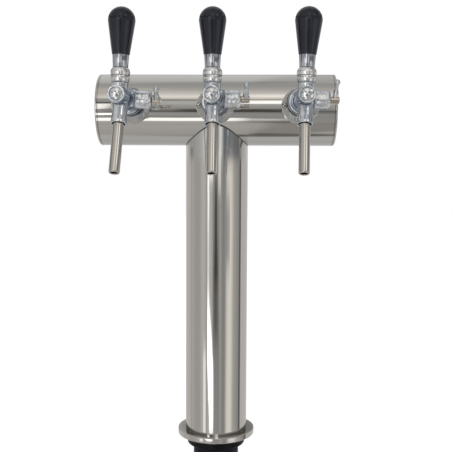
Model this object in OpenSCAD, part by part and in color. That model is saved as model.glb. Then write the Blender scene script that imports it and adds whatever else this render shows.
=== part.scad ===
// Three-tap beer tower: a steel column on a clamped base flange carries a cross drum,
// and three flow-control taps stand out of the drum's front.
// Origin: centre of the base flange's underside. +Z is up, the taps face -Y, +X is to the right.

/* [Column] */
// Outer diameter of the column tube
column_d = 76; // [70:1:80]
// Wall of the column tube
column_wall = 1.5; // [1:0.25:2.5]

/* [Base flange] */
// Outer diameter of the base flange
flange_d = 95; // [90:1:120]
// Thickness of the base flange
flange_t = 6.6; // [5:0.2:10]
// Rounding of the flange's rim
flange_round = 1.2; // [0.6:0.2:2]
// Leg of the ground-down weld round the column's foot
foot_weld = 0.4; // [0.3:0.1:3]

/* [Counter clamp] */
// Outer diameter of the clamp stub
stub_d = 56.3; // [54:0.1:58]
// Wall of the clamp stub
stub_wall = 4.2; // [3:0.2:5]
// Length of the clamp stub below the flange
stub_len = 78; // [60:1:120]
// Outer diameter of the clamp nut and its washer
clamp_d = 71.5; // [68:0.5:80]
// Thickness of the rubber clamp washer
washer_t = 3; // [2:0.5:5]
// Thickness of the clamp nut
nut_t = 9.8; // [8:0.2:15]
// Rounding of the clamp nut's lower edge
nut_round = 2; // [1:0.5:3]

/* [Cross drum] */
// Outer diameter of the drum tube
drum_d = 86; // [84:1:90]
// Wall of the drum tube
drum_wall = 1.5; // [1:0.25:2]
// How far the drum tube reaches past the axis of an outer tap
drum_end = 41; // [36:0.5:60]
// Height of the drum's axis above the counter
drum_axis_z = 402.7; // [380:1:450]
// How far each end cap stands out
cap_rise = 3.4; // [3:0.2:6]
// Rounding of an end cap's rim
cap_round = 2.4; // [1:0.2:2.8]
// Thickness of an end cap
cap_t = 1.6; // [1:0.2:2]
// Length of the end cap's lip inside the drum
cap_lip = 7; // [4:1:12]
// Diameter of the opening from the column into the drum
throat_d = 62; // [56:1:68]

/* [Tap row] */
// Distance between neighbouring taps
tap_pitch = 98.5; // [95:0.5:104]
// Height of the tap axis above the drum's axis
tap_rise = 4.8; // [2:0.2:6]
// Lean of the left tap to its right, as it is screwed on
lean_left = 1.9; // [-4:0.1:4]
// Lean of the centre tap to its right
lean_centre = 0; // [-4:0.1:4]
// Lean of the right tap to its right
lean_right = 1.7; // [-4:0.1:4]

/* [Tap bosses] */
// Diameter of the two round bars whose overlap is the oval boss
boss_d = 45.1; // [44.8:0.1:50]
// How far each of the two bars lies above or below the boss's centre
boss_squeeze = 2; // [0:0.2:3]
// How far a boss stands out of the drum's front
boss_rise = 13; // [10:0.5:18]
// How far the boss centre lies below the tap axis
boss_drop = 3.6; // [2:0.2:4]
// Diameter of a boss screw's head
boss_screw_head_d = 5.4; // [4.6:0.2:5.4]
// Diameter of a boss screw's shank
boss_screw_d = 3.4; // [3:0.2:4]
// Height of a boss screw's head
boss_screw_head_t = 1.8; // [1:0.2:2.4]

/* [Shanks] */
// Diameter of a shank's thread
shank_d = 20.6; // [18:0.2:21]
// Diameter of the beer bore in a shank
shank_bore_d = 10; // [9.8:0.1:11]
// Diameter of a shank's collar
collar_d = 31.6; // [30:0.2:31.8]
// Thickness of a shank's collar
collar_t = 8.5; // [6:0.5:12]
// Diameter of the shank's spigot in the tap body
spigot_d = 16; // [15:0.2:16.4]
// Diameter of the shank's tail, which the beer line goes into
tail_d = 12.4; // [12:0.2:14]
// Length of the shank's tail
tail_len = 12; // [10:1:14]
// Distance across the flats of a shank nut
shank_nut_af = 27; // [25:1:30]
// Thickness of a shank nut
shank_nut_t = 6; // [4:0.5:8]
// Diameter of the saddle washer under a shank nut
saddle_d = 28; // [26:1:32]

/* [Tap body] */
// Distance from the body's rear disc to the handle's axis
body_reach = 56.5; // [54:0.5:60]
// Diameter of the body's rear disc
rear_disc_d = 29.2; // [28:0.2:31]
// Thickness of the body's rear disc
rear_disc_t = 6.7; // [5:0.1:9]
// Diameter of the rear barrel
rear_barrel_d = 19.2; // [18.8:0.1:20.4]
// Diameter of the upright barrel
upright_d = 17.4; // [17:0.1:17.8]
// Height of the upright barrel above the tap axis
upright_top = 14; // [13.8:0.1:14.4]
// Diameter of the front barrel
front_barrel_d = 18.4; // [17.9:0.1:19]
// Distance from the handle's axis to the front barrel's rim
front_reach = 24; // [23:0.2:26]
// Diameter of the piston bore
piston_bore_d = 13; // [12.8:0.1:13.2]
// Diameter of the beer chamber in the rear barrel
chamber_d = 15.2; // [14.8:0.1:15.4]
// Diameter of the valve seat's hole
seat_hole_d = 9.6; // [8.4:0.2:10.4]
// Distance from the handle's axis to the valve seat
seat_y = 12.2; // [12:0.1:13]
// Thickness of the valve seat
seat_t = 2; // [1.5:0.1:2.5]
// Diameter of the front cap's plug
cap_plug_d = 13.6; // [13.4:0.1:14]
// Length of the front cap's plug
cap_plug_len = 5; // [4:0.2:5.6]
// How far the front cap domes out of its plug
cap_dome = 2; // [1:0.2:3]

/* [Spout] */
// Forward lean of the spout
spout_lean = 20.4; // [15:0.2:24]
// Distance from the handle's axis back to the foot of the spout's axis
spout_root_y = 8; // [7.6:0.1:8.6]
// Outer diameter of the spout tube
spout_d = 11.8; // [11:0.1:12.2]
// Bore of the spout tube
spout_bore_d = 7.8; // [7:0.1:9]
// Distance along the spout's axis to its tip
spout_end = 87.4; // [70:0.5:110]
// Distance along the spout's axis to the socket's mouth
socket_end = 32.2; // [31:0.1:36]
// Diameter of the spout socket
socket_d = 16.2; // [15.8:0.1:16.6]
// Diameter of the spout socket's mouth
mouth_d = 17.1; // [16.6:0.1:18]

/* [Flow control] */
// Distance from the handle's axis back to the flow shaft
flow_y = 35; // [33:0.5:36]
// Diameter of the gland cap
gland_d = 20.1; // [19.6:0.1:21]
// Reach of the gland cap from the tap's middle plane
gland_end = 29.4; // [28.6:0.2:33]
// Distance from the tap's middle plane to the gland cap's near rim
gland_start = 11.6; // [11.2:0.1:12.4]
// Diameter of the flow shaft
flow_shaft_d = 6; // [5:0.2:6.4]
// Diameter of the flow shaft's outer hub
flow_hub_d = 8.2; // [7:0.1:9]
// Length of the flow shaft's outer hub
flow_hub_len = 9.9; // [8:0.1:11]
// Radius of the crank pin's path
crank_r = 3.6; // [3.4:0.1:3.7]
// Height of the flow lever's ball above the flow shaft
lever_height = 19.5; // [18:0.5:26]
// How far the flow lever's ball leans outwards
lever_lean_x = 1.2; // [0.2:0.1:4]
// Diameter of the flow lever's foot
lever_foot_d = 6.2; // [5:0.1:6.6]
// Diameter of the flow lever's neck
lever_neck_d = 4.2; // [3:0.1:4.8]
// Diameter of the flow lever's ball
lever_ball_d = 6.7; // [6:0.1:8]
// How far the left flow lever is turned forward at rest
lever_rest_left = 60; // [-15:1:75]
// How far the centre flow lever is turned forward at rest
lever_rest_centre = 45; // [-15:1:75]
// How far the right flow lever is turned forward at rest
lever_rest_right = 10; // [-15:1:75]

/* [Handle] */
// Height of the handle's ball joint above the tap axis
pivot_z = 18; // [17.8:0.1:18.2]
// How far a handle tilts forward to open its tap
handle_tilt = 20; // [10:1:20]
// Diameter of the handle's ball
pivot_ball_d = 11.2; // [11:0.1:11.4]
// Diameter of the small ball that moves the piston
drive_ball_d = 7; // [6.6:0.1:7.2]
// Height of the small ball above the tap axis
drive_ball_z = 3; // [2.8:0.1:3.2]
// Diameter of the handle's rod
rod_d = 6.4; // [6:0.1:6.6]
// Top of the bonnet's seam with the skirt above the tap axis
skirt_z = 21.4; // [21.3:0.1:21.8]
// Greatest diameter of the skirt
skirt_d = 20.7; // [20.6:0.1:22]
// Height of the skirt
skirt_h = 8.2; // [8:0.1:9.6]
// Diameter of the ferrule's foot
ferrule_foot_d = 16.2; // [15:0.2:16.8]
// Diameter of the ferrule's top
ferrule_top_d = 17.6; // [16:0.2:19]
// Height of the ferrule
ferrule_h = 13.5; // [10:0.5:20]
// Diameter of the knob's foot
knob_foot_d = 18.8; // [17:0.2:21]
// Diameter of the knob's round head
knob_d = 28.8; // [26:0.2:32]
// Height of the knob
knob_h = 50; // [44:1:60]

/* [Lines] */
// Outer diameter of a beer or cooling line
line_d = 9.5; // [8:0.1:9.6]
// Bore of a beer or cooling line
line_bore_d = 6.7; // [5:0.1:7]
// Bend radius at the middle of a line
line_bend = 14; // [13:0.5:15]
// How far the lines stand out below the stub
line_out = 12; // [8:1:40]

/* [Hidden] */

// Unit length, for the few sizes that no named value above carries
mm = 1;
// Clearances
seam_gap = 0.1 * mm;
fit_gap = 0.1 * mm;
running_gap = 0.05 * mm;
overrun = 0.5 * mm;
rest_gap = 0.05 * mm;
// Chamfer on machined rims
chamfer = 0.8 * mm;
$fn = 72;

// Colours
steel_colour = [0.74, 0.72, 0.68];
chrome_colour = [0.78, 0.82, 0.86];
black_colour = [0.07, 0.07, 0.09];
rubber_colour = [0.10, 0.10, 0.11];
brass_colour = [0.72, 0.62, 0.50];
foam_colour = [0.88, 0.82, 0.62];
copper_colour = [0.72, 0.45, 0.34];

// Which side each tap is on
LEFT = -1;
CENTRE = 0;
RIGHT = 1;

// A flow lever turns as far to each side of its middle setting, which leans forward
lever_mid = 30;
lever_half_range = 45;

// Levels of the base
flange_bore_d = stub_d - stub_wall;
stub_bore_d = stub_d - 2 * stub_wall;
stub_spigot_d = flange_bore_d - 2 * fit_gap;
column_bore_d = column_d - 2 * column_wall;

// Drum, and distances forward of its axis
drum_len = 2 * (tap_pitch + drum_end);
drum_r = drum_d / 2;
drum_bore_d = drum_d - 2 * drum_wall;
boss_front = drum_r + boss_rise;
collar_front = boss_front + collar_t;
rear_disc_front = collar_front + rear_disc_t;
tap_reach = rear_disc_front + body_reach;
tap_z = drum_axis_z + tap_rise;

// Places along the tap, counted back from the handle's axis
disc_y = body_reach;
collar_y = disc_y + rear_disc_t;
boss_y = collar_y + collar_t;
spigot_depth = 14.5 * mm;
spigot_y = collar_y - spigot_depth;
seat_back_y = seat_y + seat_t;
shank_bore_hole_d = shank_d + 4 * fit_gap;
saddle_face_y = tap_reach - sqrt(pow(drum_bore_d / 2, 2) - pow(saddle_d / 2 + tap_rise, 2)) + chamfer;
shank_nut_back_y = saddle_face_y + rest_gap + shank_nut_t;
shank_thread_end = shank_nut_back_y + 2.4 * mm;
tail_end = shank_thread_end + tail_len;

// Boss screws stand just outside the shank's collar
boss_screw_x = collar_d / 2 + boss_screw_head_d / 2 + 2 * fit_gap;
boss_screw_reach = 17 * mm;

// Handle
drive_arm = pivot_z - drive_ball_z;
swing_y = drive_arm * sin(handle_tilt) + drive_ball_d / 2 + 3 * fit_gap;
swing_z = pivot_z - drive_arm * cos(handle_tilt);
neck_d = 4 * mm;
bonnet_ball_r = 10 * mm;
skirt_hollow_r = bonnet_ball_r + 1.5 * fit_gap;
bonnet_top = pivot_z + 4.8 * mm;
bonnet_foot_d = 18.2 * mm;
bonnet_mouth_d = 12 * mm;
bonnet_ball_start = -4;
bonnet_lip_angle = 31;
neck_spigot_d = 14.4 * mm;
neck_spigot_top = pivot_z - 1.7 * mm;
ball_seat_r = pivot_ball_d / 2 + fit_gap;
lever_hole_d = 9.4 * mm;
lever_cavity_d = 13.8 * mm;
lever_cavity_top = 12.5 * mm;
skirt_top = skirt_z + skirt_h;
ferrule_top = skirt_top + ferrule_h;
knob_top = ferrule_top + knob_h;
rod_top = ferrule_top + 19 * mm;
rod_hole_d = rod_d + 2 * fit_gap;

// Piston
pocket_half = drive_ball_d / 2 + 0.3 * mm;
pocket_floor = drive_ball_z - drive_ball_d / 2 - 0.4 * mm;
piston_d = piston_bore_d - 2 * fit_gap;
piston_front = front_reach - 6.6 * mm;
piston_back = pocket_half + 1.6 * mm;
piston_relief_z = 3.2 * mm;
piston_rod_d = 5.2 * mm;
seal_d = 13.2 * mm;
seal_t = 2.6 * mm;
cap_plug_back = front_reach - 0.8 * mm - cap_plug_len;

// Flow control
crank_pin_d = 3 * mm;
crank_disc_d = 10.4 * mm;
crank_disc_x = 4.4 * mm;
crank_disc_t = 2 * mm;
arm_bore_d = crank_disc_d + 4 * fit_gap;
arm_spigot_d = 14.8 * mm;
arm_root_d = 16.6 * mm;
arm_spigot_end = 24 * mm;
gland_bore_d = arm_spigot_d + 4 * fit_gap;
gland_wall = 4 * mm;
shaft_collar_t = 5 * mm;
hub_x = gland_end + 2 * fit_gap;
lever_x = hub_x + flow_hub_len / 2 + 0.4 * mm;
lever_tilt = atan(lever_lean_x / lever_height);
lever_len = lever_height / cos(lever_tilt);
lever_foot_share = 0.38;
lever_neck_share = 0.62;
stud_d = 2.4 * mm;
stud_top = flow_hub_d / 2 + 2 * mm;
slot_half = crank_pin_d / 2 + 0.35 * mm;
compensator_d = chamber_d - 4 * fit_gap;
compensator_half = 4.4 * mm;
compensator_flat_x = crank_disc_x - 0.5 * mm;
nose_len = 18.4 * mm;
nose_foot_d = 12.4 * mm;
nose_tip_d = 4.8 * mm;
// Travel of the compensator for one degree of the lever, in millimetres
compensator_rate = crank_r * sin(lever_half_range) / lever_half_range;

// Spout
spout_start = 13.2 * mm;
mouth_depth = 6.6 * mm;
seat_bore_end = socket_end - mouth_depth;
spout_seat_d = spout_d - 0.6 * mm;
spout_nose = 1.4 * mm;
spout_hole_d = 8.4 * mm;
mouth_bore_d = 14.2 * mm;

// Lines inside the tower
line_floor = -stub_len - line_out;
bead_h = 0.6 * mm;
bead_up = 12 * mm;
line_start_y = shank_thread_end + 4 * mm;
side_line_x = 12 * mm;
side_line_y = 4 * mm;
centre_line_y = 2 * mm;
cooling_x = 10 * mm;
cooling_y = -15 * mm;
cooling_top = drum_axis_z - 18 * mm;
foam_d = column_bore_d - 6 * fit_gap;
foam_top = drum_axis_z - drum_r - 16 * mm;
foam_hole_d = line_d + 5 * fit_gap;

// Points of an arc about [x, y], from angle a to angle b in n steps
function arc(x, y, r, a, b, n) = [for (i = [0 : n]) [x + r * cos(a + (b - a) * i / n), y + r * sin(a + (b - a) * i / n)]];

// Turns an upright shape so that it runs back along +Y
module along_y() {
    rotate([-90, 0, 0]) children();
}

// Turns an upright shape so that it runs along +X
module along_x() {
    rotate([0, 90, 0]) children();
}

// How far a tap leans to its right
function lean_of(side) = side == LEFT ? lean_left : side == RIGHT ? lean_right : lean_centre;

// Moves a shape to a tap's place on the drum: the handle's axis meets the tap axis at the shape's origin
module at_place(side) {
    translate([side * tap_pitch, -tap_reach, tap_z]) children();
}

// Moves a shape to a tap, with the tap's lean about its own axis
module at_tap(side) {
    at_place(side) rotate([0, lean_of(side), 0]) children();
}

// Moves a shape to the foot of the spout's axis, running down it
module at_spout() {
    translate([0, spout_root_y, 0]) rotate([-spout_lean, 0, 0]) mirror([0, 0, 1]) children();
}

// Moves a shape to the flow shaft, turned forward by the lever's angle
module at_flow(angle) {
    translate([0, flow_y, 0]) rotate([angle, 0, 0]) children();
}

// Moves a shape to the flow lever's place on the shaft's hub
module at_lever() {
    translate([lever_x, 0, 0]) rotate([0, lever_tilt, 0]) children();
}

// A round bar with both rims chamfered
module bar(d, z0, z1, edge = chamfer) {
    rotate_extrude() polygon([[0, z0], [d / 2 - edge, z0], [d / 2, z0 + edge],
        [d / 2, z1 - edge], [d / 2 - edge, z1], [0, z1]]);
}

// A plain cutter between two heights
module hole(d, z0, z1) {
    translate([0, 0, z0]) cylinder(d = d, h = z1 - z0);
}

// A solid along the drum's axis
module drum_solid(d, length) {
    translate([-length / 2, 0, drum_axis_z]) along_x() cylinder(d = d, h = length, $fn = 120);
}

module column_tube() color(steel_colour) difference() {
    hole(column_d, flange_t, drum_axis_z, $fn = 120);
    hole(column_bore_d, flange_t - overrun, drum_axis_z + overrun, $fn = 120);
    drum_solid(drum_d + 2 * seam_gap, column_d + 2 * overrun);
}

module drum_tube() color(steel_colour) difference() {
    drum_solid(drum_d, drum_len);
    drum_solid(drum_bore_d, drum_len + 2 * overrun);
    hole(throat_d, drum_axis_z - drum_d, drum_axis_z);
    for (side = [LEFT, CENTRE, RIGHT]) {
        at_place(side) along_y() hole(shank_bore_hole_d, boss_y, tap_reach);
        boss_screw_places(side) along_y() hole(boss_screw_d + 4 * fit_gap, boss_y, tap_reach);
    }
}

// End cap along +X: a pressed plate with a round rim, on a lip that fits the drum's bore
module end_cap() {
    lip_r = drum_bore_d / 2 - fit_gap;
    translate([drum_len / 2 + seam_gap, 0, drum_axis_z]) along_x() rotate_extrude($fn = 120) polygon(concat(
        [[0, cap_rise - cap_t], [lip_r - cap_t, cap_rise - cap_t], [lip_r - cap_t, -cap_lip],
            [lip_r, -cap_lip], [lip_r, 0], [drum_r, 0]],
        arc(drum_r - cap_round, cap_rise - cap_round, cap_round, 0, 90, 6),
        [[0, cap_rise]]));
}

module end_cap_left() color(steel_colour) mirror([1, 0, 0]) end_cap();

module end_cap_right() color(steel_colour) end_cap();

module base_flange() color(steel_colour) {
    rim = flange_d / 2;
    weld_r = column_d / 2 + seam_gap / 2;
    rotate_extrude($fn = 120) polygon(concat(
        [[flange_bore_d / 2, 0]],
        arc(rim - flange_round, flange_round, flange_round, -90, 0, 4),
        arc(rim - flange_round, flange_t - flange_round, flange_round, 0, 90, 4),
        arc(weld_r + foot_weld, flange_t + foot_weld, foot_weld, 270, 180, 5),
        [[weld_r, flange_t], [flange_bore_d / 2, flange_t]]));
}

module clamp_stub() color(black_colour) difference() {
    union() {
        bar(stub_d, -stub_len, 0, 2 * chamfer);
        hole(stub_spigot_d, -overrun, flange_t - overrun);
    }
    hole(stub_bore_d, -stub_len - overrun, flange_t);
}

module clamp_washer() color(rubber_colour) difference() {
    hole(clamp_d, -rest_gap - washer_t, -rest_gap);
    hole(stub_d + 6 * fit_gap, -washer_t - overrun, overrun);
}

module clamp_nut() color(black_colour) {
    top = -2 * rest_gap - washer_t;
    bore = stub_d / 2 + 2 * fit_gap;
    rotate_extrude($fn = 120) polygon(concat(
        [[bore, top], [bore, top - nut_t]],
        arc(clamp_d / 2 - nut_round, top - nut_t + nut_round, nut_round, -90, 0, 5),
        [[clamp_d / 2, top]]));
}

// Places a shape at the two screws of a boss, left and right of its centre
module boss_screw_places(side) {
    for (way = [LEFT, RIGHT])
        at_place(side) translate([way * boss_screw_x, 0, -boss_drop]) children();
}

module tap_bosses() color(steel_colour) for (side = [LEFT, CENTRE, RIGHT]) difference() {
    intersection() {
        at_place(side) translate([0, 0, boss_squeeze - boss_drop]) along_y() bar(boss_d, boss_y, tap_reach);
        at_place(side) translate([0, 0, -boss_squeeze - boss_drop]) along_y() bar(boss_d, boss_y, tap_reach);
    }
    drum_solid(drum_d + 2 * seam_gap, 2 * drum_len);
    at_place(side) along_y() hole(shank_bore_hole_d, boss_y - overrun, tap_reach);
    boss_screw_places(side) along_y() hole(boss_screw_d + 2 * fit_gap, boss_y - overrun, tap_reach);
}

module boss_screws() color(steel_colour) for (side = [LEFT, CENTRE, RIGHT]) boss_screw_places(side)
    along_y() rotate_extrude() polygon([[0, boss_y - boss_screw_head_t],
        [boss_screw_head_d / 4, boss_y - boss_screw_head_t],
        [boss_screw_head_d / 2, boss_y - boss_screw_head_t / 3],
        [boss_screw_head_d / 2, boss_y - rest_gap],
        [boss_screw_d / 2, boss_y - rest_gap],
        [boss_screw_d / 2, boss_y + boss_screw_reach],
        [0, boss_y + boss_screw_reach]]);

module shank_nuts() color(brass_colour) for (side = [LEFT, CENTRE, RIGHT]) at_place(side) along_y() difference() {
    translate([0, 0, saddle_face_y + rest_gap])
        cylinder(d = shank_nut_af / cos(30), h = shank_nut_t, $fn = 6);
    hole(shank_d + 2 * fit_gap, saddle_face_y - overrun, shank_nut_back_y + overrun);
}

module saddle_washers() color(steel_colour) for (side = [LEFT, CENTRE, RIGHT]) difference() {
    intersection() {
        at_place(side) along_y() hole(saddle_d, boss_y, saddle_face_y);
        drum_solid(drum_bore_d - 2 * seam_gap, drum_len);
    }
    at_place(side) along_y() hole(shank_d + 4 * fit_gap, boss_y - overrun, saddle_face_y + overrun);
}

// A straight length of line, running up from z = 0
module line_run(length) {
    difference() {
        hole(line_d, 0, length);
        hole(line_bore_d, -overrun, length + overrun);
    }
}

// The lower leg of a line, up to a height, with a rolled bead near its end that holds a hose
module line_leg(top) {
    translate([0, 0, line_floor]) difference() {
        union() {
            hole(line_d, 0, top - line_floor);
            bar(line_d + 2 * bead_h, bead_up, bead_up + 4 * bead_h, bead_h);
        }
        hole(line_bore_d, -overrun, top - line_floor + overrun);
    }
}

// A bend of line: starts at the origin running along +Z, and turns towards +X
module line_turn(angle) {
    translate([line_bend, 0, 0]) rotate([90, 0, 180]) rotate_extrude(angle = angle, $fn = 96)
        translate([line_bend, 0]) difference() {
            circle(d = line_d, $fn = 48);
            circle(d = line_bore_d, $fn = 48);
        }
}

// Line from a side tap: back out of the shank, along the drum and down the column.
// It is drawn for the right tap, and mirrored for the left one.
module side_line() {
    start = line_start_y - tap_reach;
    back = side_line_y - line_bend;
    run = tap_pitch - side_line_x - 2 * line_bend;
    translate([tap_pitch, start, tap_z]) along_y() line_run(back - start);
    translate([tap_pitch, back, tap_z]) rotate([-90, 0, 0]) rotate([0, 0, 180]) line_turn(90);
    translate([side_line_x + line_bend, side_line_y, tap_z]) along_x() line_run(run);
    translate([side_line_x, side_line_y, tap_z - line_bend]) line_turn(90);
    translate([side_line_x, side_line_y, 0]) line_leg(tap_z - line_bend);
}

module beer_line_left() color(copper_colour) mirror([1, 0, 0]) side_line();

module beer_line_right() color(copper_colour) side_line();

module beer_line_centre() color(copper_colour) {
    start = line_start_y - tap_reach;
    back = centre_line_y - line_bend;
    translate([0, start, tap_z]) along_y() line_run(back - start);
    translate([0, centre_line_y, tap_z - line_bend]) rotate([0, 0, -90]) line_turn(90);
    translate([0, centre_line_y, 0]) line_leg(tap_z - line_bend);
}

// Cooling water goes up one leg, round the drum's throat and down the other
module cooling_line() color(copper_colour) {
    for (way = [LEFT, RIGHT])
        translate([way * cooling_x, cooling_y, 0]) line_leg(cooling_top);
    translate([0, cooling_y, cooling_top]) rotate([90, 0, 0]) rotate_extrude(angle = 180, $fn = 96)
        translate([cooling_x, 0]) difference() {
            circle(d = line_d, $fn = 48);
            circle(d = line_bore_d, $fn = 48);
        }
}

module foam_core() color(foam_colour) difference() {
    hole(foam_d, flange_t, foam_top);
    for (place = [[-side_line_x, side_line_y], [side_line_x, side_line_y], [0, centre_line_y],
        [-cooling_x, cooling_y], [cooling_x, cooling_y]])
        translate(place) hole(foam_hole_d, flange_t - overrun, foam_top + overrun);
}

module shank(side) color(chrome_colour) at_place(side) along_y() difference() {
    union() {
        hole(spigot_d, spigot_y + rest_gap, collar_y + overrun);
        bar(collar_d, collar_y + rest_gap, boss_y - rest_gap);
        hole(shank_d, boss_y - overrun, shank_thread_end);
        hole(tail_d, shank_thread_end - overrun, tail_end);
    }
    hole(shank_bore_d, spigot_y, tail_end + overrun);
    translate([0, 0, spigot_y - rest_gap]) cylinder(d1 = spigot_d - 2 * mm, d2 = shank_bore_d, h = 6 * mm);
}

module tap_body(side) color(chrome_colour) at_tap(side) difference() {
    union() {
        along_y() bar(rear_disc_d, disc_y, collar_y);
        along_y() hole(rear_barrel_d, 2 * mm, disc_y + overrun);
        along_y() hole(front_barrel_d, -front_reach, 4 * mm);
        hole(upright_d, -8 * mm, upright_top);
        hole(neck_spigot_d, upright_top - overrun, neck_spigot_top);
        translate([0, flow_y, 0]) along_x() hole(arm_root_d, 0, gland_start - 2 * fit_gap);
        translate([0, flow_y, 0]) along_x() hole(arm_spigot_d, overrun, arm_spigot_end);
        at_spout() rotate_extrude() polygon([[0, 3 * mm], [socket_d / 2, 3 * mm],
            [socket_d / 2, socket_end - 8 * mm], [mouth_d / 2, socket_end - 3 * mm],
            [mouth_d / 2, socket_end], [0, socket_end]]);
    }
    along_y() hole(cap_plug_d + 2 * fit_gap, -front_reach - overrun, -cap_plug_back);
    along_y() hole(piston_bore_d, -front_reach, seat_y);
    along_y() hole(seat_hole_d, seat_y - overrun, seat_back_y + overrun);
    along_y() hole(chamber_d, seat_back_y, spigot_y + overrun);
    along_y() hole(spigot_d + 2 * fit_gap, spigot_y, collar_y + overrun);
    hole(lever_cavity_d, 0, lever_cavity_top);
    hole(lever_hole_d, lever_cavity_top - overrun, pivot_z);
    translate([0, 0, swing_z]) along_y() hole(drive_ball_d + 6 * fit_gap, 0, swing_y);
    translate([0, 0, pivot_z]) sphere(r = ball_seat_r);
    translate([0, flow_y, 0]) along_x() hole(arm_bore_d, 0, arm_spigot_end + overrun);
    at_spout() hole(spout_hole_d, 2 * mm, spout_start + overrun);
    at_spout() hole(spout_seat_d + 2 * running_gap, spout_start - running_gap, seat_bore_end + overrun);
    at_spout() hole(mouth_bore_d, seat_bore_end, socket_end + overrun);
}

// The front cap screws into the front barrel and closes the piston bore
module front_cap(side) color(chrome_colour) at_tap(side) along_y() {
    rim = -front_reach + 0.8 * mm;
    dome_w = cap_plug_d / 2;
    dome_r = (dome_w * dome_w + cap_dome * cap_dome) / (2 * cap_dome);
    dome_a = asin(dome_w / dome_r);
    rotate_extrude() polygon(concat(
        [[0, -cap_plug_back - fit_gap], [dome_w, -cap_plug_back - fit_gap]],
        arc(0, rim - cap_dome + dome_r, dome_r, -90 + dome_a, -90, 8)));
}

module bonnet(side) color(chrome_colour) at_tap(side) difference() {
    rotate_extrude() polygon(concat(
        [[neck_spigot_d / 2 + fit_gap, upright_top + rest_gap],
            [bonnet_foot_d / 2, upright_top + rest_gap]],
        arc(0, pivot_z, bonnet_ball_r, bonnet_ball_start, asin((bonnet_top - pivot_z) / bonnet_ball_r), 8),
        [[bonnet_mouth_d / 2, bonnet_top],
            [ball_seat_r * cos(bonnet_lip_angle), pivot_z + ball_seat_r * sin(bonnet_lip_angle)],
            [ball_seat_r / 2, pivot_z], [ball_seat_r / 2, neck_spigot_top + fit_gap],
            [neck_spigot_d / 2 + fit_gap, neck_spigot_top + fit_gap]]));
    translate([0, 0, pivot_z]) sphere(r = ball_seat_r);
}

// The spout's end is turned down where it sits in the body
module spout(side) color(steel_colour) at_tap(side) at_spout() difference() {
    rotate_extrude() polygon(concat(
        [[0, spout_start], [spout_seat_d / 2, spout_start], [spout_seat_d / 2, seat_bore_end + rest_gap],
            [spout_d / 2, seat_bore_end + rest_gap]],
        arc(spout_d / 2 - spout_nose, spout_end - spout_nose, spout_nose, 0, 90, 5),
        [[0, spout_end]]));
    hole(spout_bore_d, spout_start - overrun, spout_end + overrun);
}

module gland_cap(side) color(chrome_colour) at_tap(side) translate([0, flow_y, 0]) along_x() difference() {
    bar(gland_d, gland_start, gland_end, 2 * chamfer);
    hole(gland_bore_d, gland_start - overrun, gland_end - gland_wall);
    hole(flow_shaft_d + 2 * running_gap, gland_start, gland_end + overrun);
}

// The compensator slides in the beer chamber, moved by the crank pin in its slot
module compensator(side, angle) color(black_colour) at_tap(side)
    translate([0, flow_y - compensator_rate * (angle - lever_mid), 0]) difference() {
        union() {
            along_y() hole(compensator_d, -compensator_half, compensator_half);
            translate([0, compensator_half - overrun, 0]) along_y()
                cylinder(d1 = nose_foot_d, d2 = nose_tip_d, h = nose_len + overrun);
        }
        translate([compensator_flat_x, -compensator_d, -compensator_d])
            cube([compensator_d, 2 * compensator_d, 2 * compensator_d]);
        translate([-compensator_flat_x - compensator_d - 1.3 * mm, -compensator_d, -compensator_d])
            cube([compensator_d, 2 * compensator_d, 2 * compensator_d]);
        translate([-crank_pin_d - 0.3 * mm, -slot_half, crank_r * cos(lever_half_range) - crank_pin_d / 2 - 0.5 * mm])
            cube([2 * compensator_d, 2 * slot_half, compensator_d]);
    }

module flow_shaft(side, angle) color(brass_colour) at_tap(side) at_flow(angle) difference() {
    union() {
        rotate([-lever_mid, 0, 0]) translate([0, 0, crank_r]) along_x()
            hole(crank_pin_d, -crank_pin_d + 0.4 * mm, crank_disc_x + overrun);
        along_x() hole(crank_disc_d, crank_disc_x, crank_disc_x + crank_disc_t);
        along_x() hole(flow_shaft_d, crank_disc_x + overrun, hub_x + overrun);
        along_x() hole(crank_disc_d, gland_end - gland_wall - shaft_collar_t, gland_end - gland_wall - 2 * fit_gap);
        along_x() bar(flow_hub_d, hub_x, hub_x + flow_hub_len);
    }
    at_lever() hole(stud_d + 2 * fit_gap, overrun, flow_hub_d);
}

// The lever's foot is hollowed to sit on the hub, and a stud holds it there
module flow_lever(side, angle) color(chrome_colour) at_tap(side) at_flow(angle) {
    foot_r = lever_foot_d / 2;
    neck_r = lever_neck_d / 2;
    difference() {
        at_lever() {
            rotate_extrude() polygon([[0, 0], [foot_r, 0], [foot_r, lever_foot_share * lever_len],
                [neck_r, lever_neck_share * lever_len], [neck_r, lever_len], [0, lever_len]]);
            translate([0, 0, lever_len]) sphere(d = lever_ball_d);
        }
        along_x() hole(flow_hub_d + 2 * seam_gap, hub_x - overrun, hub_x + flow_hub_len + overrun);
    }
    at_lever() hole(stud_d, 2 * overrun, stud_top);
}

module piston(side) color(steel_colour) at_tap(side) difference() {
    union() {
        along_y() hole(piston_d, -piston_front, piston_back);
        along_y() hole(piston_rod_d, piston_back - overrun, seat_back_y + overrun);
        along_y() hole(seal_d, seat_back_y + 2 * fit_gap, seat_back_y + 2 * fit_gap + seal_t);
    }
    translate([-pocket_half, -pocket_half, pocket_floor])
        cube([2 * pocket_half, 2 * pocket_half, piston_d]);
    translate([-piston_d, -2 * pocket_half, -piston_relief_z - piston_d])
        cube([2 * piston_d, 2 * pocket_half + piston_back + overrun, piston_d]);
}

module stem(side) color(steel_colour) at_tap(side) {
    translate([0, 0, pivot_z]) sphere(d = pivot_ball_d);
    hole(rod_d, pivot_z, rod_top);
    hole(neck_d, drive_ball_z, pivot_z);
    translate([0, 0, drive_ball_z]) sphere(d = drive_ball_d);
}

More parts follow.
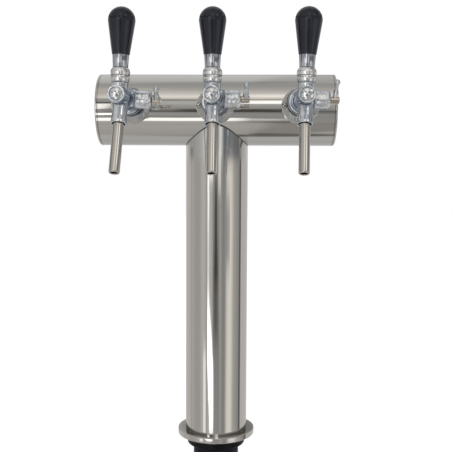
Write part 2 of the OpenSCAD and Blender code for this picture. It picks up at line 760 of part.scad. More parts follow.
// The skirt is hollowed round the ball joint, so it slides over the bonnet as the handle tilts
module skirt(side) color(chrome_colour) at_tap(side) difference() {
    r = skirt_d / 2;
    foot_shares = [[0.971, 0], [0.985, 0.17], [1, 0.355], [1, 0.46], [0.966, 0.62], [0.9, 0.79],
        [0.812, 0.93], [0.79, 1]];
    rotate_extrude() polygon(concat([[0, skirt_z]],
        [for (p = foot_shares) [r * p[0], skirt_z + skirt_h * p[1]]],
        [[0, skirt_top]]));
    translate([0, 0, pivot_z]) sphere(r = skirt_hollow_r);
    hole(rod_hole_d, pivot_z, skirt_top + overrun);
}

module ferrule(side) color(chrome_colour) at_tap(side) difference() {
    rotate_extrude() polygon([[0, skirt_top + rest_gap], [ferrule_foot_d / 2 - chamfer / 2, skirt_top + rest_gap],
        [ferrule_foot_d / 2, skirt_top + chamfer / 2], [ferrule_top_d / 2, ferrule_top - rest_gap],
        [0, ferrule_top - rest_gap]]);
    hole(rod_hole_d, skirt_top, ferrule_top);
}

module knob(side) color(black_colour) at_tap(side) difference() {
    r = knob_d / 2;
    head_z = knob_top - r;
    lean = atan((r - knob_foot_d / 2) / (head_z - ferrule_top));
    rotate_extrude() polygon(concat(
        [[0, ferrule_top], [knob_foot_d / 2 - chamfer, ferrule_top], [knob_foot_d / 2, ferrule_top + chamfer]],
        arc(0, head_z, r, -lean, 90, 16)));
    hole(rod_hole_d, ferrule_top - overrun, rod_top + fit_gap);
}

column_tube();
drum_tube();
end_cap_left();
end_cap_right();
base_flange();
clamp_stub();
clamp_washer();
clamp_nut();
tap_bosses();
boss_screws();
shank_nuts();
saddle_washers();
beer_line_left();
beer_line_centre();
beer_line_right();
cooling_line();
foam_core();
shank(LEFT);  // shank_left
tap_body(LEFT);  // tap_body_left
front_cap(LEFT);  // front_cap_left
bonnet(LEFT);  // bonnet_left
spout(LEFT);  // spout_left
gland_cap(LEFT);  // gland_cap_left
compensator(LEFT, lever_rest_left);  // compensator_left
flow_shaft(LEFT, lever_rest_left);  // flow_shaft_left
flow_lever(LEFT, lever_rest_left);  // flow_lever_left
piston(LEFT);  // piston_left
stem(LEFT);  // stem_left
skirt(LEFT);  // skirt_left
ferrule(LEFT);  // ferrule_left
knob(LEFT);  // knob_left
shank(CENTRE);  // shank_centre
tap_body(CENTRE);  // tap_body_centre
front_cap(CENTRE);  // front_cap_centre
bonnet(CENTRE);  // bonnet_centre
spout(CENTRE);  // spout_centre
gland_cap(CENTRE);  // gland_cap_centre
compensator(CENTRE, lever_rest_centre);  // compensator_centre
flow_shaft(CENTRE, lever_rest_centre);  // flow_shaft_centre
flow_lever(CENTRE, lever_rest_centre);  // flow_lever_centre
piston(CENTRE);  // piston_centre
stem(CENTRE);  // stem_centre
skirt(CENTRE);  // skirt_centre
ferrule(CENTRE);  // ferrule_centre
knob(CENTRE);  // knob_centre
shank(RIGHT);  // shank_right
tap_body(RIGHT);  // tap_body_right
front_cap(RIGHT);  // front_cap_right
bonnet(RIGHT);  // bonnet_right
spout(RIGHT);  // spout_right
gland_cap(RIGHT);  // gland_cap_right
compensator(RIGHT, lever_rest_right);  // compensator_right
flow_shaft(RIGHT, lever_rest_right);  // flow_shaft_right
flow_lever(RIGHT, lever_rest_right);  // flow_lever_right
piston(RIGHT);  // piston_right
stem(RIGHT);  // stem_right
skirt(RIGHT);  // skirt_right
ferrule(RIGHT);  // ferrule_right
knob(RIGHT);  // knob_right
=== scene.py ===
import math

import bmesh
import bpy
import numpy as np
from mathutils import Matrix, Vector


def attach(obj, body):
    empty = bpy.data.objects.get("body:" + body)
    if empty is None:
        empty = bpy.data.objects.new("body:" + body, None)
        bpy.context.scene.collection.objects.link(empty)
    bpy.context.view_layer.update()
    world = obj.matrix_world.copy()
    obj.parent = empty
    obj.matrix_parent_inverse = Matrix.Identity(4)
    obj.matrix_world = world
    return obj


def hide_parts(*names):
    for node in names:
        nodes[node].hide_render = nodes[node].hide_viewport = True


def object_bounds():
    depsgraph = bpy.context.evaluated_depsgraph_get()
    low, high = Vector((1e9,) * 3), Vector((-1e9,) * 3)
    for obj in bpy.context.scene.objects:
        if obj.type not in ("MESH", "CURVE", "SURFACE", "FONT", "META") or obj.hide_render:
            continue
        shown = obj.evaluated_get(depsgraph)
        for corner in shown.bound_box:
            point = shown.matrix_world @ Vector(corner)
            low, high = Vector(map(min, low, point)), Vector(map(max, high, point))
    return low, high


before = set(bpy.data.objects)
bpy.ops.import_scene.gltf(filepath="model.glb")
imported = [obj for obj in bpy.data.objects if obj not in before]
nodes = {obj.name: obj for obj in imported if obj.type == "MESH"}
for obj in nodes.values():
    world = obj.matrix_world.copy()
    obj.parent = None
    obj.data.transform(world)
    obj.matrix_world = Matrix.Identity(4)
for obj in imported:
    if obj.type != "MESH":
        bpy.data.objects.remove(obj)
cadLow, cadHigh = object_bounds()
print("frame loaded:", len(nodes), "nodes")

mm = 0.001
sides = {"left": -1, "centre": 0, "right": 1}

# Places of the taps, as in part.scad
tapRow = {"pitch": 98.5, "reach": 127.7, "height": 407.5, "lean": {"left": 1.9, "centre": 0.0, "right": 1.7}}


# Shader helpers

class Wire:
    # A node's socket that takes part in sums: each sum adds a Math node to the tree

    def __init__(self, tree, socket):
        self.tree, self.socket = tree, socket

    def mathNode(self, operation, *terms):
        return make(self.tree, "ShaderNodeMath", {"operation": operation}, dict(enumerate(terms)))

    def __add__(self, other):
        return self.mathNode("ADD", self, other)

    def __radd__(self, other):
        return self.mathNode("ADD", other, self)

    def __sub__(self, other):
        return self.mathNode("SUBTRACT", self, other)

    def __rsub__(self, other):
        return self.mathNode("SUBTRACT", other, self)

    def __mul__(self, other):
        return self.mathNode("MULTIPLY", self, other)

    def __rmul__(self, other):
        return self.mathNode("MULTIPLY", other, self)

    def __truediv__(self, other):
        return self.mathNode("DIVIDE", self, other)

    def absolute(self):
        return self.mathNode("ABSOLUTE", self)

    def step(self, low, high):
        # 0 below low, 1 above high, and smooth between them
        return make(self.tree, "ShaderNodeMapRange", {"interpolation_type": "SMOOTHSTEP"},
                    {"Value": self, "From Min": low, "From Max": high})


def make(tree, kind, settings=None, inputs=None, out=0):
    # One node with its settings and its sockets' values or links
    n = tree.nodes.new(kind)
    for key, value in (settings or {}).items():
        if key == "stops":
            ramp = n.color_ramp
            while len(ramp.elements) < len(value):
                ramp.elements.new(0.5)
            for e, (at, colour) in zip(ramp.elements, value):
                e.position = at
                e.color = (*colour, 1)
        else:
            setattr(n, key, value)
    for key, value in (inputs or {}).items():
        if isinstance(value, Wire):
            tree.links.new(value.socket, n.inputs[key])
        else:
            n.inputs[key].default_value = value
    return Wire(tree, n.outputs[out])


def emptyMaterial(name):
    m = bpy.data.materials.new(name)
    m.use_nodes = True
    m.node_tree.nodes.clear()
    return m, m.node_tree


def noise(tree, scale, detail=3.0, roughness=0.5, stretch=(1, 1, 1), distortion=0.0):
    where = make(tree, "ShaderNodeTexCoord", out="Object")
    where = make(tree, "ShaderNodeMapping", None, {"Vector": where, "Scale": stretch})
    return make(tree, "ShaderNodeTexNoise", None,
                {"Vector": where, "Scale": scale, "Detail": detail, "Roughness": roughness,
                 "Distortion": distortion})


def seamShade(tree):
    # Painted shade: 0 on open surfaces, 1 deep in seams and inner corners; pieces without it have 0
    return make(tree, "ShaderNodeAttribute", {"attribute_name": "seam"}, out=2)


def mixColour(tree, share, a, b):
    return make(tree, "ShaderNodeMix", {"data_type": "RGBA"}, {0: share, 6: a, 7: b}, out=2)


def finishMaterial(tree, shader):
    out = tree.nodes.new("ShaderNodeOutputMaterial")
    tree.links.new(shader.socket, out.inputs["Surface"])


# Materials

def polishedSteel(name, tint, streak, satin=0.055, wave=0.25):
    # Tube polished by belt: fine streaks along one way, slow waves in the wall, faint handling marks
    m, t = emptyMaterial(name)
    fine = noise(t, 1.0, 4.0, 0.6, streak)
    slow = noise(t, 22.0, 1.5, 0.4)
    marks = noise(t, 70.0, 5.0, 0.62, distortion=0.4)
    smear = marks.step(0.48, 0.72)
    base = mixColour(t, fine.step(0.25, 0.75), (*[c * 0.965 for c in tint], 1), (*tint, 1))
    # Painted shade: near-black in seams and inner corners
    base = mixColour(t, seamShade(t) * 0.85, base, (0.03, 0.027, 0.025, 1))
    rough = satin + 0.035 * smear + 0.03 * fine.step(0.4, 0.8)
    waves = make(t, "ShaderNodeBump", None, {"Strength": wave, "Distance": 0.0006, "Height": slow})
    lines = make(t, "ShaderNodeBump", None,
                 {"Strength": 0.16, "Distance": 0.00002, "Height": fine, "Normal": waves})
    finishMaterial(t, make(t, "ShaderNodeBsdfPrincipled", None,
                           {"Base Color": base, "Metallic": 1.0, "Roughness": rough, "Normal": lines}))
    return m


def platedMetal(name, tint, dark, satin, grain, relief, patches, hammer=0.00015, edge=(0.50, 0.56, 0.64)):
    # Chrome over a casting: the skin keeps a soft orange-peel relief; its hollows and seams are greyer with
    # painted shade
    m, t = emptyMaterial(name)
    skin = noise(t, grain, 3.0, 0.55)
    broad = noise(t, grain * 0.28, 2.0, 0.5)
    pits = noise(t, grain * 2.2, 4.0, 0.65).step(0.56, 0.74)
    share = broad.step(0.38, 0.68) * patches + pits * (patches * 0.45)
    base = mixColour(t, share, (*tint, 1), (*dark, 1))
    # Painted shade: dark blue-grey in seams and hollows
    base = mixColour(t, seamShade(t) * 0.7, base, (0.05, 0.075, 0.12, 1))
    rough = satin + 0.10 * share + 0.05 * pits
    soft = make(t, "ShaderNodeBump", None, {"Strength": relief, "Distance": 0.0007, "Height": broad})
    peel = make(t, "ShaderNodeBump", None,
                {"Strength": relief, "Distance": hammer, "Height": skin, "Normal": soft})
    finishMaterial(t, make(t, "ShaderNodeBsdfPrincipled", None,
                           {"Base Color": base, "Metallic": 1.0, "Roughness": rough, "Normal": peel,
                            "Specular Tint": (*edge, 1)}))
    return m


def plastic(name, tint, gloss, grain, relief, shine=0.5, dust=0.0):
    # Moulded plastic or rubber: a fine grain in its skin, and slow patches a little paler and duller
    m, t = emptyMaterial(name)
    skin = noise(t, grain, 3.0, 0.5)
    broad = noise(t, grain * 0.05, 3.0, 0.6)
    paler = tuple(min(1.0, c * 1.35 + 0.004) for c in tint)
    base = mixColour(t, broad.step(0.35, 0.75), (*tint, 1), (*paler, 1))
    rough = gloss + 0.08 * broad.step(0.4, 0.8) + dust * skin.step(0.5, 0.8)
    bump = make(t, "ShaderNodeBump", None, {"Strength": relief, "Distance": 0.0001, "Height": skin})
    finishMaterial(t, make(t, "ShaderNodeBsdfPrincipled", None,
                           {"Base Color": base, "Roughness": rough, "Normal": bump,
                            "Specular IOR Level": shine}))
    return m


steelTint = (0.70, 0.685, 0.655)
finishes = {
    "drumSteel": polishedSteel("drumSteel", steelTint, (18, 900, 900)),
    "columnSteel": polishedSteel("columnSteel", steelTint, (900, 900, 18)),
    "capSteel": polishedSteel("capSteel", steelTint, (300, 300, 300), 0.055, 0.12),
    "paintedShadeWeld": polishedSteel("paintedShadeWeld", (0.16, 0.155, 0.16), (300, 300, 300), 0.12, 0.1),
    "flangeSteel": polishedSteel("flangeSteel", (0.72, 0.70, 0.67), (300, 300, 900), 0.07, 0.1),
    "spoutSteel": polishedSteel("spoutSteel", (0.66, 0.635, 0.595), (900, 900, 30), 0.06, 0.05),
    "warmSteel": polishedSteel("warmSteel", (0.66, 0.59, 0.50), (30, 900, 900), 0.14, 0.02),
    "screwSteel": polishedSteel("screwSteel", (0.62, 0.62, 0.60), (300, 300, 300), 0.16, 0.02),
    "lineSteel": polishedSteel("lineSteel", (0.62, 0.62, 0.61), (500, 500, 20), 0.2, 0.05),
    "brass": polishedSteel("brass", (0.76, 0.60, 0.34), (300, 900, 300), 0.2, 0.05),
    "chrome": platedMetal("chrome", (0.90, 0.925, 0.95), (0.55, 0.615, 0.69), 0.055, 300, 0.32, 0.7,
                          0.00025),
    "castChrome": platedMetal("castChrome", (0.98, 0.985, 0.99), (0.50, 0.56, 0.65), 0.05, 700, 0.9, 0.7,
                              0.00028),
    "softChrome": platedMetal("softChrome", (0.99, 0.99, 0.985), (0.90, 0.92, 0.94), 0.16, 200, 0.04, 0.4),
    "capChrome": platedMetal("capChrome", (0.86, 0.88, 0.90), (0.50, 0.56, 0.63), 0.05, 300, 0.55, 0.35),
    "leverChrome": platedMetal("leverChrome", (0.84, 0.87, 0.90), (0.50, 0.56, 0.63), 0.06, 300, 0.10, 0.5),
    "turnedChrome": platedMetal("turnedChrome", (0.80, 0.82, 0.845), (0.66, 0.70, 0.75), 0.05, 200, 0.006,
                                0.4),
    "knobPlastic": plastic("knobPlastic", (0.0085, 0.0112, 0.0195), 0.16, 900, 0.03),
    "threadBlack": plastic("threadBlack", (0.018, 0.020, 0.032), 0.36, 700, 0.15, dust=0.1),
    "nutPlastic": plastic("nutPlastic", (0.0030, 0.0030, 0.0045), 0.34, 800, 0.15, 0.16, 0.08),
    "gasketRubber": plastic("gasketRubber", (0.003, 0.003, 0.0035), 0.6, 500, 0.3, 0.12, 0.1),
    "innerPlastic": plastic("innerPlastic", (0.05, 0.05, 0.055), 0.45, 600, 0.1),
    "foam": plastic("foam", (0.72, 0.64, 0.42), 0.9, 240, 0.8),
}

dressing = {
    "column_tube": "columnSteel", "drum_tube": "drumSteel", "tap_bosses": "drumSteel",
    "boss_screws": "screwSteel", "saddle_washers": "screwSteel", "shank_nuts": "brass",
    "clamp_washer": "gasketRubber", "foam_core": "foam", "cooling_line": "lineSteel",
    "beer_line": "lineSteel", "shank": "turnedChrome", "gland_cap": "castChrome", "spout": "spoutSteel",
    "compensator": "innerPlastic", "flow_shaft": "warmSteel", "flow_lever": "chrome",
    "piston": "warmSteel", "stem": "warmSteel", "ferrule": "turnedChrome", "base_flange": "flangeSteel",
    "clamp_stub": "threadBlack", "clamp_nut": "nutPlastic", "end_cap": "drumSteel",
    "tap_body": "chrome", "front_cap": "chrome", "bonnet": "chrome", "skirt": "chrome",
    "knob": "knobPlastic"}
for name, node in nodes.items():
    kind = name if name in dressing else name.rsplit("_", 1)[0]
    for slot in node.material_slots:
        slot.material = finishes[dressing[kind]]
print("materials:", len(finishes))


# Mesh helpers

def roundedLine(points, radii, steps=7):
    # A line through the points, with each inner corner turned into an arc of its own radius:
    # the arc touches both legs at a distance radius / tan(half the corner's angle) from the corner
    points = np.asarray(points, float)
    line = [points[:1]]
    for before, corner, after, radius in zip(points, points[1:], points[2:], radii):
        a, b = before - corner, after - corner
        la, lb = np.hypot(*a), np.hypot(*b)
        a, b = a / la, b / lb
        half = math.acos(np.clip(a @ b, -1, 1)) / 2
        if radius <= 0 or half > 1.55:
            line.append(corner[None])
            continue
        back = min(radius / math.tan(half), 0.49 * la, 0.49 * lb)
        r = back * math.tan(half)
        middle = corner + (a + b) / np.hypot(*(a + b)) * r / math.sin(half)
        start, end = corner + a * back - middle, corner + b * back - middle
        t0 = math.atan2(start[1], start[0])
        turn = (math.atan2(end[1], end[0]) - t0 + math.pi) % (2 * math.pi) - math.pi
        t = t0 + turn * np.linspace(0, 1, steps)
        line.append(middle + r * np.stack([np.cos(t), np.sin(t)], 1))
    line.append(points[-1:])
    return np.concatenate(line)


def smoothLine(points, steps=6):
    # Catmull-Rom curve through the points: each span is the cubic whose end slopes are half of the
    # step between the two neighbours
    p = np.asarray(points, float)
    p = np.concatenate([2 * p[:1] - p[1:2], p, 2 * p[-1:] - p[-2:-1]])
    t = np.linspace(0, 1, steps, endpoint=False)[None, :, None]
    a, b, c, d = (q[:, None] for q in (p[:-3], p[1:-2], p[2:-1], p[3:]))
    curve = 0.5 * (2 * b + (c - a) * t + (2 * a - 5 * b + 4 * c - d) * t ** 2
                   + (3 * b - a - 3 * c + d) * t ** 3)
    return np.concatenate([curve.reshape(-1, p.shape[1]), p[-2:-1]])


def addAttribute(mesh, values):
    layer = mesh.attributes.new("seam", "FLOAT", "POINT")
    layer.data.foreach_set("value", np.asarray(values, np.float32))


def paintedShadeNear(line, seams, width):
    # Painted shade that falls from 1 at a seam's point with the square of the distance over the width
    line, seams = np.asarray(line, float), np.asarray(seams, float).reshape(-1, 2)
    d = np.linalg.norm(line[:, None] - seams[None], axis=2)
    return np.exp(-(d / width) ** 2).max(1)


def gridPiece(name, grids, finish, body, replaces=(), sharp=35.0, seam=None):
    # A mesh from grids of points (rows, columns, 3) in mm: each row closes into a ring, and a grid's
    # first and last ring meet or shrink to a point. The painted shade values are one for each row or point
    grids = grids if isinstance(grids, list) else [grids]
    quads, count = [], 0
    for grid in grids:
        index = count + np.arange(grid.shape[0] * grid.shape[1]).reshape(grid.shape[:2])
        beside = np.roll(index, -1, axis=1)
        quads.append(np.stack([index[:-1], beside[:-1], beside[1:], index[1:]], -1).reshape(-1, 4))
        count += index.size
    mesh = bpy.data.meshes.new(name)
    places = np.concatenate([grid.reshape(-1, 3) for grid in grids]) * mm
    mesh.from_pydata(places.tolist(), [], np.concatenate(quads).tolist())
    if seam is not None:
        seam = seam if isinstance(seam, list) else [seam]
        values = [np.broadcast_to(v if v.ndim == 2 else v[:, None], g.shape[:2]) for v, g in zip(seam, grids)]
        addAttribute(mesh, np.concatenate([v.ravel() for v in values]))
    return settle(name, mesh, finish, body, replaces, sharp)


def settle(name, mesh, finish, body, replaces, sharp):
    # Merges doubles, turns the faces outwards, shades it smooth between sharp edges and names its body
    bm = bmesh.new()
    bm.from_mesh(mesh)
    bmesh.ops.remove_doubles(bm, verts=bm.verts, dist=1e-7)
    bmesh.ops.dissolve_degenerate(bm, edges=bm.edges, dist=1e-8)
    bmesh.ops.recalc_face_normals(bm, faces=bm.faces)
    bm.to_mesh(mesh)
    bm.free()
    mesh.shade_smooth()
    if sharp < 180:
        mesh.set_sharp_from_angle(angle=math.radians(sharp))
    piece = bpy.data.objects.new(name, mesh)
    bpy.context.scene.collection.objects.link(piece)
    mesh.materials.append(finishes[finish])
    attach(piece, body)
    if replaces:
        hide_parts(*replaces)
    return piece


def revolve(line, columns=128):
    # Points (radius * cos, radius * sin, height) for a line of (radius, height)
    turn = np.linspace(0, 2 * math.pi, columns, endpoint=False)
    r, h = line[:, :1], line[:, 1:]
    return np.stack([r * np.cos(turn), r * np.sin(turn), h + 0 * turn], -1)


def toTap(points, side):
    # From a tap's own frame to the tower's: turned by its lean about Y, then moved to its place
    a = math.radians(tapRow["lean"][side])
    x, y, z = np.moveaxis(points, -1, 0)
    return np.stack([x * math.cos(a) + z * math.sin(a) + sides[side] * tapRow["pitch"],
                     y - tapRow["reach"],
                     z * math.cos(a) - x * math.sin(a) + tapRow["height"]], -1)


def fromTap(points, side):
    # The way back, from the tower's frame to a tap's own
    a = math.radians(tapRow["lean"][side])
    x, y, z = np.moveaxis(points - [sides[side] * tapRow["pitch"], 0, tapRow["height"]], -1, 0)
    return np.stack([x * math.cos(a) - z * math.sin(a), y + tapRow["reach"],
                     z * math.cos(a) + x * math.sin(a)], -1)


def alongY(points):
    # An upright shape turned to run back along +Y
    x, y, z = np.moveaxis(points, -1, 0)
    return np.stack([x, z, -y], -1)


def alongX(points, y0=0.0):
    # An upright shape turned to run along +X, y0 behind the tap's axis
    x, y, z = np.moveaxis(points, -1, 0)
    return np.stack([z, y + y0, -x], -1)


def arcLine(r, z, radius, start, end, steps=16):
    # Arc about (r, z), in degrees up from +r
    t = np.radians(np.linspace(start, end, steps))
    return np.stack([r + radius * np.cos(t), z + radius * np.sin(t)], 1)


# Handles

handle = {"skirtFoot": 21.4, "skirtHeight": 8.2, "skirtRadius": 10.35, "pivot": 18.0, "hollow": 10.15,
          "ferrule": 13.5, "knobHeight": 50.0, "knobRadius": 14.4, "knobFoot": 9.4, "rodHole": 3.3,
          "rodDepth": 19.1, "ferruleFoot": 8.1, "ferruleTop": 8.8, "gap": 0.05, "knobRound": 0.9,
          "ferruleRounds": [0.7, 0.35, 0],
          # The skirt's side in shares of its radius and height, then its rim's and its top's radius
          "skirtSide": [[0.985, 0.04], [0.992, 0.17], [1, 0.355], [1, 0.46], [0.966, 0.62], [0.9, 0.79],
                        [0.835, 0.91], [0.795, 0.97]], "skirtRim": 0.971, "skirtTop": 0.775,
          # Seams with painted shade, as radius and height on the profile, and the width of that shade
          "ferrulePaintedShade": ([[8.1, 29.6], [8.9, 43.1]], 0.55),
          "skirtPaintedShade": ([[8.2, 29.6], [10.2, 21.3]], 0.45)}
ferruleFoot = handle["skirtFoot"] + handle["skirtHeight"]
knobBase = ferruleFoot + handle["ferrule"]


def knobLine():
    # From the axis in the rod's hole, out over the foot, up the side and round the head to the axis
    r, top = handle["knobRadius"], knobBase + handle["knobHeight"]
    headZ = top - r
    lean = math.atan((r - handle["knobFoot"]) / (headZ - knobBase))
    t = np.linspace(-lean, math.pi / 2, 48)
    head = np.stack([r * np.cos(t), headZ + r * np.sin(t)], 1)
    foot = knobBase + handle["gap"]
    start = roundedLine([[handle["rodHole"], foot], [handle["knobFoot"], foot], head[0]],
                        [handle["knobRound"]])[:-1]
    side = start[-1] + np.linspace(0, 1, 14)[1:-1, None] * (head[0] - start[-1])
    bore = [[0, knobBase + handle["rodDepth"]], [handle["rodHole"], knobBase + handle["rodDepth"]]]
    return np.concatenate([bore, start, side, head])


def ferruleLine():
    # From the rod's hole out over the foot, up the slightly widening side and back down the hole
    r0, r1, hole = handle["ferruleFoot"], handle["ferruleTop"], handle["rodHole"]
    low, top = ferruleFoot + handle["gap"], knobBase - handle["gap"]
    return roundedLine([[hole, low], [r0, low], [r1, top], [hole, top], [hole, low]], handle["ferruleRounds"])


def skirtLine():
    # Outer side from the rim up to the ferrule, then down the rod's hole and round the hollow
    foot, h, r = handle["skirtFoot"], handle["skirtHeight"], handle["skirtRadius"]
    outer = smoothLine(np.array(handle["skirtSide"]) * [r, h] + [0, foot])
    a0 = math.degrees(math.asin((foot - handle["pivot"]) / handle["hollow"]))
    a1 = math.degrees(math.acos(handle["rodHole"] / handle["hollow"]))
    top = [[handle["skirtTop"] * r, foot + h - 0.02], [handle["rodHole"], foot + h - 0.02]]
    hollow = arcLine(0, handle["pivot"], handle["hollow"], a1, a0, 20)
    rim = [[handle["skirtRim"] * r, foot]]
    return np.concatenate([rim, outer, top, hollow, rim])


for side in sides:
    body = f"handle_{side}"
    line = knobLine()
    gridPiece(f"knob_skin_{side}", toTap(revolve(line, 160), side), "knobPlastic", body,
              [f"knob_{side}"])
    line = ferruleLine()
    gridPiece(f"ferrule_skin_{side}", toTap(revolve(line), side), "turnedChrome", body,
              [f"ferrule_{side}"], seam=paintedShadeNear(line, *handle["ferrulePaintedShade"]))
    line = skirtLine()
    gridPiece(f"skirt_skin_{side}", toTap(revolve(line), side), "softChrome", body,
              [f"skirt_{side}"], seam=paintedShadeNear(line, *handle["skirtPaintedShade"]))
print("handles made")


# Tap fittings

fitting = {"bonnetFoot": 9.1, "bonnetBall": 10.0, "bonnetTop": 22.8, "bonnetMouth": 6.0, "spigot": 7.3,
           "upright": 14.05, "seatBall": 5.7, "neckTop": 16.4, "glandRadius": 10.05, "glandBore": 7.6,
           "glandFrom": 11.6, "glandTo": 29.4, "glandWall": 4.0, "shaftHole": 3.05, "flowY": 35.0,
           "capRim": -23.2, "capRadius": 6.8, "capDome": 2.0, "capBack": -18.1,
           "bonnetRound": 0.6, "ballFrom": -4, "seatTo": 31, "glandEdge": 1.2, "glandNose": [1.5, 2.4],
           "glandRounds": [0.6, 1.0, 1.4, 0.9, 0.3, 0, 0],
           # Seams with painted shade, as radius and height on each profile, and the width of that shade
           "bonnetPaintedShade": ([[9.2, 13.9], [9.3, 21.9]], 0.7), "glandPaintedShade": ([[9.3, 11.5], [3.9, 29.4]], 0.9),
           "capPaintedShade": ([[6.9, -23.3]], 0.5)}
spoutSet = {"start": 13.2, "seat": 5.6, "shoulder": 25.65, "radius": 5.9, "end": 87.4, "nose": 1.4,
            "bore": 3.9, "lean": 20.4, "rootY": 8.0,
            # The lip inside the mouth, as steps out from the bore and back from the end; then the seams with
            # painted shade near the socket's mouth, and its width
            "lip": [[0.45, -0.05], [0.1, -0.5], [0, -1.2]], "seams": ([[5.9, 31.2], [5.9, 28]], 1.6)}


def bonnetLine():
    # From the spigot out to the foot, up round the ball to the mouth, and down the stem's round seat
    f = fitting
    pivot, ball, seat = handle["pivot"], f["bonnetBall"], f["seatBall"]
    top = math.degrees(math.asin((f["bonnetTop"] - pivot) / ball))
    foot = roundedLine([[f["spigot"], f["upright"]], [f["bonnetFoot"], f["upright"]],
                        arcLine(0, pivot, ball, f["ballFrom"], 0)[0]], [f["bonnetRound"]])
    low = math.degrees(math.asin((f["neckTop"] - pivot) / seat))
    return np.concatenate([foot, arcLine(0, pivot, ball, f["ballFrom"] + 1, top, 22),
                           [[f["bonnetMouth"], f["bonnetTop"]]],
                           arcLine(0, pivot, seat, f["seatTo"], low, 16),
                           [[f["spigot"], f["neckTop"]], [f["spigot"], f["upright"]]]])


def glandLine():
    # From the bore out over the open end, along the side, in over the nose, and back down the inside
    f = fitting
    r, a, b, edge = f["glandRadius"], f["glandFrom"], f["glandTo"], f["glandEdge"]
    wall, nose = b - f["glandWall"], f["glandNose"]
    return roundedLine([[f["glandBore"], a], [r - edge, a], [r, a + edge], [r, b - nose[1]], [r - nose[0], b],
                        [f["shaftHole"], b], [f["shaftHole"], wall], [f["glandBore"], wall],
                        [f["glandBore"], a]], f["glandRounds"])


def capLine():
    # From the axis behind the cap, out along its back and over a shallow dome to the axis
    f = fitting
    w, d = f["capRadius"], f["capDome"]
    ballR = (w * w + d * d) / (2 * d)
    r = np.linspace(w, 0, 40)
    dome = f["capRim"] - d + ballR - np.sqrt(ballR ** 2 - r ** 2)
    return np.concatenate([[[0, f["capBack"]], [w, f["capBack"]]], np.stack([r, dome], 1)])


def spoutLine():
    # From the bore at the root, over the seat and down the tube, round the nose and back up the bore
    q = spoutSet
    r, end, nose = q["radius"], q["end"], q["nose"]
    outer = roundedLine([[q["bore"], q["start"]], [q["seat"], q["start"]], [q["seat"], q["shoulder"]],
                         [r, q["shoulder"]], [r, 40], [r, 60], [r, end - nose]], [0.2, 0, 0.1, 0, 0], 9)
    lip = np.array(q["lip"]) + [q["bore"], end]
    return np.concatenate([outer, arcLine(r - nose, end - nose, nose, 0, 90)[1:], lip,
                           [[q["bore"], q["start"]]]])


def toSpout(points):
    # From upright to the spout's axis: down and forward by its lean
    c, n = math.cos(math.radians(spoutSet["lean"])), math.sin(math.radians(spoutSet["lean"]))
    x, y, h = np.moveaxis(points, -1, 0)
    return np.stack([x, spoutSet["rootY"] + y * c - h * n, -y * n - h * c], -1)


for side in sides:
    line = bonnetLine()
    gridPiece(f"bonnet_skin_{side}", toTap(revolve(line), side), "softChrome", "tower",
              [f"bonnet_{side}"], seam=paintedShadeNear(line, *fitting["bonnetPaintedShade"]))
    line = glandLine()
    gridPiece(f"gland_skin_{side}", toTap(alongX(revolve(line, 160), fitting["flowY"]), side), "castChrome",
              "tower", [f"gland_cap_{side}"],
              seam=paintedShadeNear(line, *fitting["glandPaintedShade"]))
    line = capLine()
    gridPiece(f"cap_skin_{side}", toTap(alongY(revolve(line)), side), "capChrome", "tower",
              [f"front_cap_{side}"], seam=paintedShadeNear(line, *fitting["capPaintedShade"]))
    line = spoutLine()
    # Painted shade near the socket's mouth and all along the bore
    gridPiece(f"spout_skin_{side}", toTap(toSpout(revolve(line)), side), "spoutSteel", "tower",
              [f"spout_{side}"],
              seam=np.maximum(paintedShadeNear(line, *spoutSet["seams"]), line[:, 0] < spoutSet["bore"] + 0.1))
print("fittings made")


# Shanks, bosses and their screws

# The seams give painted shade where the collar meets the boss and at the collar's front rim
shankSet = {"spigotY": 48.75, "collarY": 63.25, "bossY": 71.65, "threadEnd": 99.95, "tailEnd": 111.95,
            "spigot": 8.0, "collar": 15.8, "thread": 10.3, "tail": 6.2, "bore": 5.0, "cone": 7.0,
            "coneEnd": 54.65, "rounds": [0, 0.3, 0.2, 0.7, 0.3, 0, 0.5, 0.2, 0.4, 0.2],
            "seams": ([[15.9, 71.7], [15.0, 63.2]], 0.8)}
bossSet = {"bar": 22.55, "squeeze": 2.0, "bore": 10.5, "front": -56.0, "z": 403.9, "edge": 0.5,
           "drumRadius": 43.1, "drumZ": 402.7, "faceRows": 30, "columns": 300,
           "collarShade": 0.7, "screwShade": 0.6, "jointShade": 0.5}
screwSet = {"x": 18.7, "radius": 2.7, "height": 1.8, "rim": 0.9, "slot": 0.5, "floor": 0.7, "shank": 1.7,
            "length": 17.0, "turns": [62, 20, 118, 75, 64, 150]}


def shankLine():
    # From the cone at the front out over spigot and collar, back over thread and tail, and up the bore
    q = shankSet
    return roundedLine([[q["bore"], q["coneEnd"]], [q["cone"], q["spigotY"]], [q["spigot"], q["spigotY"]],
                        [q["spigot"], q["collarY"]], [q["collar"], q["collarY"]], [q["collar"], q["bossY"]],
                        [q["thread"], q["bossY"]], [q["thread"], q["threadEnd"]], [q["tail"], q["threadEnd"]],
                        [q["tail"], q["tailEnd"]], [q["bore"], q["tailEnd"]], [q["bore"], q["coneEnd"]]],
                       q["rounds"])


